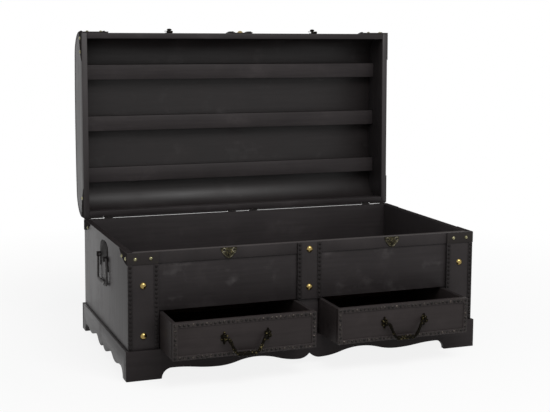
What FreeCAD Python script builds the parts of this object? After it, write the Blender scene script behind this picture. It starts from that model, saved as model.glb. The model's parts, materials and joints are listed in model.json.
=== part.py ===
import FreeCAD
import Part
import math
import os
import re

# A mule chest: a domed lid on stop hinges, a deep compartment, two drawers and a scalloped plinth.
# Millimetres, +Z up. The origin is on the floor, at the middle of the plinth. The front looks along -Y.
# The chest stands with its lid open against the hinge stops and both drawers pulled part way out.

SIZES = {
    # Plinth
    "plinth_width": 900,
    "plinth_depth": 500,
    "plinth_height": 70,
    "plinth_thick": 14,
    "front_foot": 84,
    "side_foot": 35,
    "opening_corner": 24,
    "outer_lobe_height": 16,
    "apron_peak_height": 30,
    "inner_lobe_height": 13,
    "cusp_height": 26,
    "cusp_half_width": 27,
    "outer_lobe_share": 0.63,
    "apron_peak_share": 0.37,
    "corner_block_side": 32,
    "corner_block_height": 28,
    # Carcass
    "body_inset": 6.5,
    "rim_height": 295,
    "board_thick": 15,
    "panel_thick": 12,
    "pilaster_width": 72,
    "stile_width": 62,
    "band_proud": 5,
    "rail_height": 27,
    "rail_proud": 3,
    "divider_width": 51,
    "bay_height": 87,
    "trim_width": 11,
    "trim_thick": 1.5,
    # Drawers
    "drawer_gap": 2,
    "run_gap": 0.3,
    "drawer_depth": 400,
    "drawer_out": 115,
    "drawer_front_thick": 14,
    "drawer_side_thick": 10,
    "drawer_bottom_thick": 5,
    # Drawer pulls
    "pull_span": 104,
    "pull_drop": 37.5,
    "pull_flat": 46,
    "pull_standoff": 12,
    "pull_rod_radius": 2.5,
    "pull_grip_radius": 4,
    "pull_grip_length": 34,
    "pull_post_radius": 4.5,
    "pull_plate_width": 17,
    "pull_plate_height": 27,
    # Lid
    "shoulder_radius": 64,
    "crown_rise": 6,
    "lid_skin": 8,
    "rim_gap": 1,
    "lid_open_angle": 91,
    "batten_width": 40,
    "batten_thick": 28,
    "batten_spread": 140,
    "strap_thick": 2,
    "laid_gap": 0.1,
    "strap_back_gap": 2,
    "wall_margin": 1,
    "back_rail_thick": 4.2,
    "back_rail_height": 16,
    "back_rail_gap": 1.5,
    # Hinges
    "hinge_inset": 65.5,
    "hinge_inner": 31,
    "hinge_width": 22,
    "leaf_height": 24,
    "leaf_thick": 1.5,
    "barrel_radius": 3,
    "barrel_clear": 0.5,
    "pin_radius": 1.5,
    "pin_gap": 0.05,
    "knuckle_gap": 0.3,
    "stop_length": 12,
    "stop_gap": 0.3,
    # Hasps and keepers
    "hasp_spread": 421,
    "hasp_shift": 8,
    "hasp_width": 16,
    "hasp_axis_rise": 10,
    "hasp_clear": 0.3,
    "hasp_plate_margin": 2,
    "keeper_width": 43,
    "keeper_waist": 30,
    "keeper_thick": 1.5,
    "knob_drop": 13,
    "knob_radius": 3,
    "knob_length": 7,
    "knob_slot_gap": 1,
    # Corner caps and studs
    "cap_height": 27,
    "cap_thick": 1.2,
    "cap_side_length": 78,
    "cap_back_length": 40,
    "small_stud_radius": 4.5,
    "small_stud_rise": 3,
    "small_stud_edge": 14,
    "small_stud_pitch": 36,
    "big_stud_radius": 8,
    "big_stud_rise": 5,
    "pilaster_stud_drop": 76,
    "pilaster_stud_rise": 32,
    "stile_stud_drop": 17,
    "stile_stud_rise": 29,
    # Side handles
    "handle_span": 94,
    "handle_drop": 63,
    "handle_flare": 2,
    "handle_rod_radius": 2.8,
    "handle_grip_radius": 4,
    "handle_grip_length": 60,
    "handle_standoff": 5.5,
    "handle_pivot_drop": 52,
    "handle_plate_width": 78,
    "handle_plate_below": 14,
    "handle_plate_above": 36,
    "handle_plate_arch": 15,
    "handle_plate_thick": 2,
    "ear_width": 8,
    "ear_wall": 3,
    "rod_bend": 7,
}

# Sizes that follow from the ones above
WORKED = {
    "body_width": "plinth_width - 2 * body_inset",
    "body_depth": "plinth_depth - 2 * body_inset",
    "half_width": "plinth_width / 2 - body_inset",
    "half_depth": "plinth_depth / 2 - body_inset",
    "inner_width": "body_width - 2 * board_thick",
    "inner_depth": "body_depth - band_proud - 2 * board_thick",
    "panel_height": "rim_height - plinth_height",
    "bay_top": "plinth_height + bay_height",
    "front_panel_height": "rim_height - bay_top",
    "opening_width": "(body_width - 2 * pilaster_width - divider_width) / 2",
    "rail_length": "(body_width - 2 * pilaster_width - stile_width) / 2",
    "pilaster_trim_height": "panel_height - cap_height",
    "drawer_width": "opening_width - 2 * drawer_gap",
    "drawer_height": "bay_height - drawer_gap - run_gap",
    "drawer_inner_width": "drawer_width - 2 * drawer_side_thick",
    "drawer_side_length": "drawer_depth - drawer_front_thick",
    "lid_rim": "rim_height + rim_gap",
    "strap_back_rise": "max(cap_height; leaf_height) + strap_back_gap",
    "lid_wall": "strap_back_rise + wall_margin",
    "lid_height": "lid_wall + shoulder_radius + crown_rise",
    "back_rail_length": "half_width - hinge_inset - hinge_inner - hinge_width - 2 * back_rail_gap",
    "middle_rail_length": "2 * hinge_inner - hinge_width - 2 * back_rail_gap",
    "hinge_back": "barrel_radius + barrel_clear",
    "knuckle_length": "(hinge_width - 2 * knuckle_gap) / 3",
    "bore_radius": "pin_radius + pin_gap",
    "leaf_plate_height": "leaf_height - barrel_radius - knuckle_gap",
    "hasp_knuckle_length": "(hasp_width - 2 * knuckle_gap) / 3",
    "hasp_plate_height": "lid_wall - hasp_axis_rise - barrel_radius - knuckle_gap - hasp_plate_margin",
    "hasp_reach": "hasp_axis_rise + rim_gap + knob_drop",
    "slot_radius": "knob_radius + knob_slot_gap",
    "pull_hole_radius": "pull_rod_radius + pin_gap",
    "handle_hole_radius": "handle_rod_radius + pin_gap",
    "ear_reach": "handle_standoff + handle_rod_radius + ear_wall",
    "small_ball": "(small_stud_radius ^ 2 + small_stud_rise ^ 2) / (2 * small_stud_rise)",
    "small_cut": "asin(1 - small_stud_rise / small_ball)",
    "big_ball": "(big_stud_radius ^ 2 + big_stud_rise ^ 2) / (2 * big_stud_rise)",
    "big_cut": "asin(1 - big_stud_rise / big_ball)",
}

doc = FreeCAD.newDocument("mule_chest")
HOME = {alias: "Sizes" for alias in SIZES}
HOME.update({alias: "Worked" for alias in WORKED})
LEFT, RIGHT = -1, 1
SIDES = {"left": LEFT, "right": RIGHT}
TOUCHING = 1e-6
ALONG_X = FreeCAD.Rotation(FreeCAD.Vector(0, 1, 0), 90)
ALONG_Y = FreeCAD.Rotation(FreeCAD.Vector(1, 0, 0), -90)
sub_parts = []


def linked(words):
    """An expression in plain size names, with each name tied to its sheet."""
    return re.sub(r"[a-z]\w+", lambda name: f"{HOME[name.group()]}.{name.group()}"
                  if name.group() in HOME else name.group(), words)


def fill_sheet(name, cells):
    """A sheet with one named cell per row."""
    sheet = doc.addObject("Spreadsheet::Sheet", name)
    for row, (alias, content) in enumerate(cells.items(), start=1):
        sheet.set(f"A{row}", alias)
        sheet.set(f"B{row}", content)
        sheet.setAlias(f"B{row}", alias)
    doc.recompute()


fill_sheet("Sizes", {alias: str(number) for alias, number in SIZES.items()})
fill_sheet("Worked", {alias: "=" + linked(words) for alias, words in WORKED.items()})


def size(alias):
    """The number that a sheet holds under this name."""
    return float(getattr(doc.getObject(HOME[alias]), alias))


def point(x, y, z):
    return FreeCAD.Vector(x, y, z)


def at(x, y, z, turn=FreeCAD.Rotation()):
    return FreeCAD.Placement(point(x, y, z), turn)


def keep(thing, label):
    """Marks an object as one finished sub-part under its own name."""
    thing.Label = label
    sub_parts.append(thing)
    return thing


def bind(thing, **sizes):
    for name, words in sizes.items():
        thing.setExpression(name, linked(words))
    return thing


def block(name, length, width, height, place):
    """A square-cut piece, its low corner at place."""
    piece = bind(doc.addObject("Part::Box", name), Length=length, Width=width, Height=height)
    piece.Placement = place
    return piece


def round_bar(name, radius, length, place):
    """A cylinder that starts at place and runs along the turned Z axis."""
    piece = bind(doc.addObject("Part::Cylinder", name), Radius=radius, Height=length)
    piece.Placement = place
    return piece


def joined(name, pieces):
    whole = doc.addObject("Part::MultiFuse", name)
    whole.Shapes = pieces
    return whole


def drilled(name, piece, tool):
    rest = doc.addObject("Part::Cut", name)
    rest.Base = piece
    rest.Tool = tool
    return rest


def group(name, pieces, place=FreeCAD.Placement()):
    """Separate like pieces under one name."""
    together = doc.addObject("Part::Compound", name)
    together.Links = pieces
    together.Placement = place
    return together


def mirrored(name, piece, normal):
    """The same piece on the other side of the chest's middle."""
    other = doc.addObject("Part::Mirroring", name)
    other.Source = piece
    other.Normal = normal
    return other


def outline(start, steps):
    """Edges of a closed outline. A step is (end,) for a straight run or (middle, end) for an arc."""
    edges = []
    here = start
    for step in steps + [(start,)]:
        end = step[-1]
        if len(step) == 2:
            edges.append(Part.Arc(point(*here, 0), point(*step[0], 0), point(*end, 0)))
        elif math.dist(here, end) > TOUCHING:
            edges.append(Part.LineSegment(point(*here, 0), point(*end, 0)))
        here = end
    return edges


def flip(spot):
    """The same outline point on the other side of the middle."""
    return (-spot[0], spot[1])


def plate(name, plane, edges, thickness, place=FreeCAD.Placement()):
    """A flat piece: an outline drawn on one of its body's own planes and padded to its thickness."""
    body = doc.addObject("PartDesign::Body", name)
    sketch = body.newObject("Sketcher::SketchObject", name + "_outline")
    support = next(item for item in body.Origin.OriginFeatures if item.Role == plane)
    sketch.AttachmentSupport = [(support, "")]
    sketch.MapMode = "FlatFace"
    sketch.addGeometry(edges, False)
    pad = bind(body.newObject("PartDesign::Pad", name + "_pad"), Length=thickness)
    pad.Profile = sketch
    body.Tip = pad
    body.Placement = place
    return body


def stud(name, kind, foot, outward):
    """A domed nail head, a cap of a ball with its flat side at foot."""
    head = bind(doc.addObject("Part::Sphere", name), Radius=f"{kind}_ball", Angle1=f"{kind}_cut")
    outward = point(*outward)
    sunk = size(f"{kind}_ball") - size(f"{kind}_stud_rise")
    head.Placement = FreeCAD.Placement(point(*foot) - outward * sunk,
                                       FreeCAD.Rotation(point(0, 0, 1), outward))
    return head


def bent_rod(points, radius, bend):
    """A round rod along straight runs joined by tangent arcs."""
    points = [point(*spot) for spot in points]
    edges = []
    here = points[0]
    for before, corner, after in zip(points, points[1:], points[2:]):
        back = (before - corner).normalize()
        ahead = (after - corner).normalize()
        half_turn = (math.pi - back.getAngle(ahead)) / 2
        cut = bend * math.tan(half_turn)
        inward = (back + ahead).normalize()
        middle = corner + inward * (bend / math.cos(half_turn) - bend)
        edges.append(Part.LineSegment(here, corner + back * cut).toShape())
        here = corner + ahead * cut
        edges.append(Part.Arc(corner + back * cut, middle, here).toShape())
    edges.append(Part.LineSegment(here, points[-1]).toShape())
    ring = Part.Circle(points[0], points[1] - points[0], radius).toShape()
    return Part.Wire(edges).makePipeShell([Part.Wire(ring)], True, False)


half_width = size("half_width")
half_depth = size("half_depth")
plinth_height = size("plinth_height")
rim = size("rim_height")
lid_rim = size("lid_rim")
bay_top = size("bay_top")
board = size("board_thick")
panel = size("panel_thick")
panel_front = size("band_proud") - half_depth
hinge_axis = point(0, half_depth + size("hinge_back"), rim + size("rim_gap") / 2)
lid_turn = FreeCAD.Placement(point(0, 0, 0), FreeCAD.Rotation(point(1, 0, 0), -size("lid_open_angle")),
                             hinge_axis)


# Plinth: four boards, the base panel that they carry and the glue blocks in their corners

def ogee(start, end):
    """Two arcs that leave one level and arrive at another, flat at both ends."""
    run = end[0] - start[0]
    rise = end[1] - start[1]
    radius = (run ** 2 + rise ** 2) / (4 * abs(rise))
    middle = ((start[0] + end[0]) / 2, (start[1] + end[1]) / 2)
    steps = []
    sweep = math.asin(abs(run) / 2 / radius) / 2
    climb = math.copysign(radius, rise)
    for foot, lift, goal in ((start, climb, middle), (end, -climb, end)):
        centre = (foot[0], foot[1] + lift)
        side = math.copysign(math.sin(sweep) * radius, middle[0] - foot[0])
        steps.append(((centre[0] + side, centre[1] - lift * math.cos(sweep)), goal))
    return steps


def level_arc(start, end):
    """The middle of the arc that leaves start level and climbs or falls to end."""
    run = end[0] - start[0]
    rise = end[1] - start[1]
    radius = (run ** 2 + rise ** 2) / (2 * rise)
    sweep = math.atan2(abs(run), abs(radius) - abs(rise)) / 2
    side = math.copysign(radius * math.sin(sweep), run)
    return (start[0] + side, start[1] + radius * (1 - math.cos(sweep)))


def apron(half_length, foot, scalloped):
    """A plinth board's outline: two feet, and a lower edge that is scalloped or straight."""
    corner = size("opening_corner")
    inside = half_length - foot
    slant = corner * math.sqrt(0.5)
    lift = ((corner - inside - slant, slant), (corner - inside, corner))
    land = ((inside - corner + slant, slant), (inside, 0))
    steps = [((-inside, 0),), lift]
    if scalloped:
        lobe = (-size("outer_lobe_share") * inside, size("outer_lobe_height"))
        peak = (-size("apron_peak_share") * inside, size("apron_peak_height"))
        inner = (-size("cusp_half_width"), size("inner_lobe_height"))
        cusp = (0, size("cusp_height"))
        steps += ogee(lift[1], lobe) + ogee(lobe, peak) + ogee(peak, inner)
        steps += [(level_arc(inner, cusp), cusp), (level_arc(flip(inner), cusp), flip(inner))]
        steps += ogee(flip(inner), flip(peak)) + ogee(flip(peak), flip(lobe))
        steps += ogee(flip(lobe), flip(lift[1]))
    else:
        steps.append(((inside - corner, corner),))
    steps += [land, ((half_length, 0),), ((half_length, plinth_height),), ((-half_length, plinth_height),)]
    return outline((-half_length, 0), steps)


plinth_half = size("plinth_width") / 2
plinth_reach = size("plinth_depth") / 2
plinth_thick = size("plinth_thick")
side_half = plinth_reach - plinth_thick
side_foot = size("side_foot") - plinth_thick
keep(plate("plinth_front", "XZ_Plane", apron(plinth_half, size("front_foot"), True), "plinth_thick",
           at(0, plinth_thick - plinth_reach, 0)), "plinth_front")
keep(plate("plinth_back", "XZ_Plane", apron(plinth_half, size("front_foot"), False), "plinth_thick",
           at(0, plinth_reach, 0)), "plinth_back")
keep(plate("plinth_left", "YZ_Plane", apron(side_half, side_foot, True), "plinth_thick",
           at(-plinth_half, 0, 0)), "plinth_left")
keep(plate("plinth_right", "YZ_Plane", apron(side_half, side_foot, True), "plinth_thick",
           at(plinth_half - plinth_thick, 0, 0)), "plinth_right")
keep(block("base_panel", "plinth_width - 2 * plinth_thick", "plinth_depth - 2 * plinth_thick", "panel_thick",
           at(plinth_thick - plinth_half, plinth_thick - plinth_reach, plinth_height - panel)), "base_panel")

block_side = size("corner_block_side")
corner_blocks = []
for across in (plinth_thick - plinth_half, plinth_half - plinth_thick - block_side):
    for back in (plinth_thick - plinth_reach, plinth_reach - plinth_thick - block_side):
        low = plinth_height - panel - size("corner_block_height")
        corner_blocks.append(block("corner_block", "corner_block_side", "corner_block_side",
                                   "corner_block_height", at(across, back, low)))
keep(group("plinth_corner_blocks", corner_blocks), "plinth_corner_blocks")


# Carcass: the boards of the compartment, the drawer bays under it and the raised bands on its front

for side, sign in SIDES.items():
    keep(block(f"end_panel_{side}", "board_thick", "body_depth - band_proud", "panel_height",
               at(min(sign * half_width, sign * (half_width - board)), panel_front, plinth_height)),
         f"end_panel_{side}")
    edge = min(sign * half_width, sign * (half_width - size("pilaster_width")))
    keep(block(f"pilaster_{side}", "pilaster_width", "band_proud", "panel_height",
               at(edge, -half_depth, plinth_height)), f"pilaster_{side}")
    bay_end = half_width - size("pilaster_width")
    bay_start = size("divider_width") / 2
    outer_start = min(sign * bay_end, sign * (bay_end + panel))
    outer_wall = block(f"outer_bay_wall_{side}", "panel_thick", "inner_depth + board_thick", "bay_height",
                       at(outer_start, panel_front, plinth_height))
    inner_start = min(sign * bay_start, sign * (bay_start - panel))
    inner_wall = block(f"inner_bay_wall_{side}", "panel_thick", "inner_depth", "bay_height",
                       at(inner_start, panel_front + board, plinth_height))
    keep(group(f"drawer_bay_walls_{side}", [outer_wall, inner_wall]), f"drawer_bay_walls_{side}")

inner_edge = board - half_width
keep(block("back_panel", "inner_width", "board_thick", "panel_height",
           at(inner_edge, half_depth - board, plinth_height)), "back_panel")
keep(block("front_panel", "inner_width", "board_thick", "front_panel_height",
           at(inner_edge, panel_front, bay_top)), "front_panel")
keep(block("drawer_divider", "divider_width", "board_thick", "bay_height",
           at(-size("divider_width") / 2, panel_front, plinth_height)), "drawer_divider")
keep(block("chest_floor", "inner_width", "inner_depth", "panel_thick",
           at(inner_edge, panel_front + board, bay_top)), "chest_floor")
stile_edge = size("stile_width") / 2
keep(block("centre_stile", "stile_width", "band_proud", "front_panel_height",
           at(-stile_edge, -half_depth, bay_top)), "centre_stile")

rail_face = panel_front - size("rail_proud")
rails = []
for start in (size("pilaster_width") - half_width, stile_edge):
    rails.append(block("top_rail", "rail_length", "rail_proud", "rail_height",
                       at(start, rail_face, rim - size("rail_height"))))
keep(group("top_rails", rails), "top_rails")

trim_width = size("trim_width")
trim_face = -half_depth - size("trim_thick")
trims = []
for sign in SIDES.values():
    for start in (half_width - trim_width, half_width - size("pilaster_width")):
        trims.append(block("pilaster_trim", "trim_width", "trim_thick", "pilaster_trim_height",
                           at(min(sign * start, sign * (start + trim_width)), trim_face, plinth_height)))
    trims.append(block("stile_trim", "trim_width", "trim_thick", "front_panel_height",
                       at(min(sign * stile_edge, sign * (stile_edge - trim_width)), trim_face, bay_top)))
keep(group("body_nail_trim", trims), "body_nail_trim")

brass = []
pilaster_middle = half_width - size("pilaster_width") / 2
for sign in SIDES.values():
    for height in (rim - size("pilaster_stud_drop"), plinth_height + size("pilaster_stud_rise")):
        brass.append(stud("pilaster_stud", "big", (sign * pilaster_middle, -half_depth, height), (0, -1, 0)))
for height in (rim - size("stile_stud_drop"), bay_top + size("stile_stud_rise")):
    brass.append(stud("stile_stud", "big", (0, -half_depth, height), (0, -1, 0)))
keep(group("body_brass_studs", brass), "body_brass_studs")


# Corner caps: bent plates on the corners of the rims, each held by nails on both legs

def corner_caps(name, level, upward, seats):
    """Four caps along a rim. seats holds how far the front and the back legs lie off the boards."""
    tall = size("cap_height")
    thick = size("cap_thick")
    long = size("cap_side_length")
    far = level + upward * tall
    caps = []
    for end, seat, leg in ((-1, seats[0], "pilaster_width"), (1, seats[1], "cap_back_length")):
        outer = half_depth + seat + thick
        corner = end * outer
        tip = end * (outer - long)
        bulge = level_arc((corner, far), (tip, level))
        side_leg = plate(f"{name}_side_leg", "YZ_Plane",
                         outline((corner, level), [((corner, far),), (bulge, (tip, level))]),
                         "cap_thick", at(-half_width - thick, 0, 0))
        front_leg = block(f"{name}_front_leg", f"{leg} + cap_thick", "cap_thick", "cap_height",
                          at(-half_width - thick, min(corner, corner - end * thick), min(level, far)))
        cap = joined(f"{name}_cap", [side_leg, front_leg])
        caps += [cap, mirrored(f"{name}_other_cap", cap, point(1, 0, 0))]
    return caps


def cap_studs(level, upward, seats):
    """Two nails on each leg of the front caps, one on each leg of the back ones."""
    thick = size("cap_thick")
    height = level + upward * size("small_stud_edge")
    pitch = size("small_stud_pitch")
    heads = []
    for sign in SIDES.values():
        side_face = sign * (half_width + thick)
        for end, seat, first, nails in ((-1, seats[0], (size("pilaster_width") - pitch) / 2, 2),
                                        (1, seats[1], size("cap_back_length") / 2, 1)):
            face = end * (half_depth + seat + thick)
            for step in range(nails):
                along = end * (half_depth - size("small_stud_edge") - pitch + step * pitch)
                heads.append(stud("side_leg_stud", "small", (side_face, along, height), (sign, 0, 0)))
            for step in range(nails):
                across = sign * (half_width - first - step * pitch)
                heads.append(stud("front_leg_stud", "small", (across, face, height), (0, end, 0)))
    return heads


body_seats = (0, 0)
lid_seats = (size("laid_gap") + size("strap_thick"), 0)
keep(group("body_corner_caps", corner_caps("body_corner", rim, -1, body_seats)), "body_corner_caps")
keep(group("body_corner_studs", cap_studs(rim, -1, body_seats)), "body_corner_studs")
keep(group("lid_corner_caps", corner_caps("lid_corner", lid_rim, 1, lid_seats), lid_turn), "lid_corner_caps")
keep(group("lid_corner_studs", cap_studs(lid_rim, 1, lid_seats), lid_turn), "lid_corner_studs")


# Lid: low walls, two shaped ends, a bent skin over them, battens inside and straps outside

wall_top = lid_rim + size("lid_wall")
shoulder = size("shoulder_radius")
crown_rise = size("crown_rise")
shoulder_reach = half_depth - shoulder
crown_radius = (shoulder_reach ** 2 + 2 * shoulder * crown_rise + crown_rise ** 2) / (2 * crown_rise)
crown_top = lid_rim + size("lid_height")


def dome(inset):
    """Arcs of the lid's section, front to back, at a depth under its outer face."""
    lean = math.atan2(wall_top - crown_top + crown_radius, -shoulder_reach)
    radius = shoulder - inset

    def on_shoulder(angle):
        return (radius * math.cos(angle) - shoulder_reach, wall_top + radius * math.sin(angle))

    bend = on_shoulder((math.pi + lean) / 2)
    meet = on_shoulder(lean)
    return [(bend, meet), ((0, crown_top - inset), flip(meet)), (flip(bend), (half_depth - inset, wall_top))]


def dome_back(inset):
    """The same arcs, back to front."""
    return [(flip(bend), flip(end)) for bend, end in dome(inset)]


def lid_band(name, inside, outside, front_rise, width, start):
    """A band laid over the lid from front to back, between two heights above its face."""
    front = lid_rim + front_rise
    back = lid_rim + size("strap_back_rise")
    steps = [((-half_depth - inside, wall_top),)] + dome(-inside)
    steps += [((half_depth + inside, back),), ((half_depth + outside, back),)]
    steps += [((half_depth + outside, wall_top),)]
    steps += dome_back(-outside) + [((-half_depth - outside, front),)]
    return plate(name, "YZ_Plane", outline((-half_depth - inside, front), steps), width, at(start, 0, 0))


skin = size("lid_skin")
for side, sign in SIDES.items():
    end_steps = [((-half_depth, wall_top),), ((skin - half_depth, wall_top),)] + dome(skin)
    end_steps += [((half_depth, wall_top),), ((half_depth, lid_rim),)]
    place = lid_turn.multiply(at(min(sign * half_width, sign * (half_width - board)), 0, 0))
    keep(plate(f"lid_end_{side}", "YZ_Plane", outline((-half_depth, lid_rim), end_steps), "board_thick",
               place), f"lid_end_{side}")

top_steps = dome(0) + [((half_depth - skin, wall_top),)] + dome_back(skin)
keep(plate("lid_top", "YZ_Plane", outline((-half_depth, wall_top), top_steps), "body_width",
           lid_turn.multiply(at(-half_width, 0, 0))), "lid_top")
for name, back in (("lid_front", -half_depth), ("lid_back", half_depth - board)):
    keep(block(name, "inner_width", "board_thick", "lid_wall",
               lid_turn.multiply(at(inner_edge, back, lid_rim))), name)

batten_half = size("batten_width") / 2
inner_crown = crown_radius - skin
batten_fall = inner_crown - math.sqrt(inner_crown ** 2 - batten_half ** 2)
battens = []
for spread in (-size("batten_spread"), 0, size("batten_spread")):
    tilt = math.asin(spread / inner_crown)
    crown_centre = point(0, 0, crown_top - crown_radius)
    lower = inner_crown - batten_fall - size("laid_gap") - size("batten_thick")
    lean = FreeCAD.Placement(crown_centre, FreeCAD.Rotation(point(1, 0, 0), -math.degrees(tilt)))
    battens.append(block("lid_batten", "inner_width", "batten_width", "batten_thick",
                         lean.multiply(at(inner_edge, -batten_half, lower))))
keep(group("lid_battens", battens, lid_turn), "lid_battens")

strap_inside = size("laid_gap")
strap_face = strap_inside + size("strap_thick")
trim_inside = strap_face + size("laid_gap")
trim_outside = trim_inside + size("trim_thick")
straps = [lid_band("centre_strap", strap_inside, strap_face, 0, "stile_width", -stile_edge)]
lid_trims = []
for start in (-stile_edge, stile_edge - trim_width):
    lid_trims.append(lid_band("centre_strap_trim", trim_inside, trim_outside, 0, "trim_width", start))
for sign in SIDES.values():
    start = min(sign * half_width, sign * bay_end)
    straps.append(lid_band("end_strap", strap_inside, strap_face, 0, "pilaster_width", start))
    for edge in (start, start + size("pilaster_width") - trim_width):
        lid_trims.append(lid_band("end_strap_trim", trim_inside, trim_outside, size("cap_height"),
                                  "trim_width", edge))
keep(group("lid_straps", straps, lid_turn), "lid_straps")
keep(group("lid_nail_trim", lid_trims, lid_turn), "lid_nail_trim")

lid_brass = []
front_stud_height = lid_rim + size("stile_stud_drop")
for across in (-pilaster_middle, 0, pilaster_middle):
    top_foot = (across, 0, crown_top + strap_face)
    lid_brass.append(stud("crown_stud", "big", top_foot, (0, 0, 1)))
lid_brass.append(stud("lid_front_stud", "big", (0, -half_depth - strap_face, front_stud_height), (0, -1, 0)))
keep(group("lid_brass_studs", lid_brass, lid_turn), "lid_brass_studs")


# Hinges: a leaf with two knuckles and stop tails on the body, a leaf with one knuckle on the lid, and a pin.
# Low rails along the lid's back edge, between the hinges, narrow the gap that the open lid leaves.

hinge_width = size("hinge_width")
knuckle = size("knuckle_length")
barrel = size("barrel_radius")
axle_y = hinge_axis.y
axle_z = hinge_axis.z
plate_clear = barrel + size("knuckle_gap")
hinge_places = [sign * (half_width - size("hinge_inset")) for sign in SIDES.values()]
hinge_places += [sign * size("hinge_inner") for sign in SIDES.values()]
body_leaves = []
lid_leaves = []
hinge_pins = []
for middle in hinge_places:
    first = middle - hinge_width / 2
    last = middle + hinge_width / 2 - knuckle
    pieces = [block("body_leaf", "hinge_width", "leaf_thick", "leaf_plate_height",
                    at(first, half_depth, axle_z - size("leaf_height")))]
    tail_inside = size("leaf_thick") + size("stop_gap") - size("hinge_back")
    for start in (first, last):
        pieces.append(round_bar("body_knuckle", "barrel_radius", "knuckle_length",
                                at(start, axle_y, axle_z, ALONG_X)))
        pieces.append(block("body_neck", "knuckle_length", "leaf_thick", "barrel_radius + knuckle_gap",
                            at(start, half_depth, axle_z - plate_clear)))
        pieces.append(block("stop_tail", "knuckle_length", "leaf_thick", "stop_length",
                            lid_turn.multiply(at(start, axle_y + tail_inside, axle_z))))
    bore = round_bar("body_bore", "bore_radius", "hinge_width", at(first, axle_y, axle_z, ALONG_X))
    body_leaves.append(drilled("body_hinge_leaf", joined("body_leaf_whole", pieces), bore))
    inner = middle - knuckle / 2
    pieces = [block("lid_leaf", "hinge_width", "leaf_thick", "leaf_plate_height",
                    at(first, half_depth, axle_z + plate_clear)),
              block("lid_neck", "knuckle_length", "leaf_thick", "barrel_radius + knuckle_gap",
                    at(inner, half_depth, axle_z)),
              round_bar("lid_knuckle", "barrel_radius", "knuckle_length", at(inner, axle_y, axle_z, ALONG_X))]
    bore = round_bar("lid_bore", "bore_radius", "hinge_width", at(first, axle_y, axle_z, ALONG_X))
    lid_leaves.append(drilled("lid_hinge_leaf", joined("lid_leaf_whole", pieces), bore))
    hinge_pins.append(round_bar("hinge_pin", "pin_radius", "hinge_width", at(first, axle_y, axle_z, ALONG_X)))
keep(group("body_hinge_leaves", body_leaves), "body_hinge_leaves")
keep(group("lid_hinge_leaves", lid_leaves, lid_turn), "lid_hinge_leaves")
keep(group("hinge_pins", hinge_pins), "hinge_pins")

rail_start = size("hinge_inner") + hinge_width / 2 + size("back_rail_gap")
back_rails = [block("middle_back_rail", "middle_rail_length", "back_rail_thick", "back_rail_height",
                    at(-size("middle_rail_length") / 2, half_depth, lid_rim))]
for start in (rail_start, -rail_start - size("back_rail_length")):
    back_rails.append(block("back_rail", "back_rail_length", "back_rail_thick", "back_rail_height",
                            at(start, half_depth, lid_rim)))
keep(group("lid_back_rails", back_rails, lid_turn), "lid_back_rails")


# Hasps: a knuckled plate and a folding tongue on the lid's front, a shield with a knob on the body below

hasp_width = size("hasp_width")
hasp_knuckle = size("hasp_knuckle_length")
hasp_axis_y = -half_depth - size("hasp_clear") - barrel
hasp_axis_z = lid_rim + size("hasp_axis_rise")
leaf = size("leaf_thick")
keeper_half = size("keeper_width") / 2
keeper_low = rim - size("rail_height")
keepers = []
hasp_plates = []
for side, sign in SIDES.items():
    middle = size("hasp_shift") + sign * size("hasp_spread") / 2
    waist = (size("keeper_waist") / 2, (rim + keeper_low) / 2)
    shield_steps = [((keeper_half, rim),), (waist, (0, keeper_low)), (flip(waist), (-keeper_half, rim))]
    shield = plate("keeper_shield", "XZ_Plane", outline((-keeper_half, rim), shield_steps), "keeper_thick",
                   at(middle, rail_face, 0))
    knob_tip = rail_face - size("knob_length") - size("keeper_thick")
    knob = round_bar("keeper_knob", "knob_radius", "knob_length + keeper_thick",
                     at(middle, knob_tip, rim - size("knob_drop"), ALONG_Y))
    keepers.append(joined("keeper", [shield, knob]))
    first = middle - hasp_width / 2
    pieces = [block("hasp_fixed_plate", "hasp_width", "leaf_thick", "hasp_plate_height",
                    at(first, -half_depth - leaf, hasp_axis_z + plate_clear)),
              round_bar("hasp_pin", "pin_radius", "hasp_width", at(first, hasp_axis_y, hasp_axis_z, ALONG_X))]
    for start in (first, middle + hasp_width / 2 - hasp_knuckle):
        pieces.append(round_bar("hasp_fixed_knuckle", "barrel_radius", "hasp_knuckle_length",
                                at(start, hasp_axis_y, hasp_axis_z, ALONG_X)))
        pieces.append(block("hasp_fixed_neck", "hasp_knuckle_length", "leaf_thick",
                            "barrel_radius + knuckle_gap", at(start, -half_depth - leaf, hasp_axis_z)))
    hasp_plates.append(joined("hasp_plate", pieces))
    tongue_face = hasp_axis_y - barrel
    reach = hasp_axis_z + size("hasp_reach")
    start = middle - hasp_knuckle / 2
    tongue = joined("tongue_whole", [
        round_bar("tongue_knuckle", "barrel_radius", "hasp_knuckle_length",
                  at(start, hasp_axis_y, hasp_axis_z, ALONG_X)),
        block("tongue_neck", "hasp_knuckle_length", "leaf_thick", "barrel_radius + knuckle_gap",
              at(start, tongue_face, hasp_axis_z)),
        block("tongue_plate", "hasp_width", "leaf_thick", "hasp_reach - barrel_radius - knuckle_gap",
              at(first, tongue_face, hasp_axis_z + plate_clear)),
        round_bar("tongue_end", "hasp_width / 2", "leaf_thick", at(middle, tongue_face, reach, ALONG_Y))])
    bore = round_bar("tongue_bore", "bore_radius", "hasp_width", at(first, hasp_axis_y, hasp_axis_z, ALONG_X))
    slot = round_bar("tongue_slot", "slot_radius", "2 * barrel_radius",
                     at(middle, tongue_face - barrel, reach, ALONG_Y))
    hasp = drilled(f"hasp_{side}", drilled("tongue_bored", tongue, bore), slot)
    hasp.Placement = lid_turn
    keep(hasp, f"hasp_{side}")
keep(group("keeper_plates", keepers), "keeper_plates")
keep(group("hasp_plates", hasp_plates, lid_turn), "hasp_plates")


# Drawers: inset fronts with a nail trim border, boxes behind them and a drop pull on two posts

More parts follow.
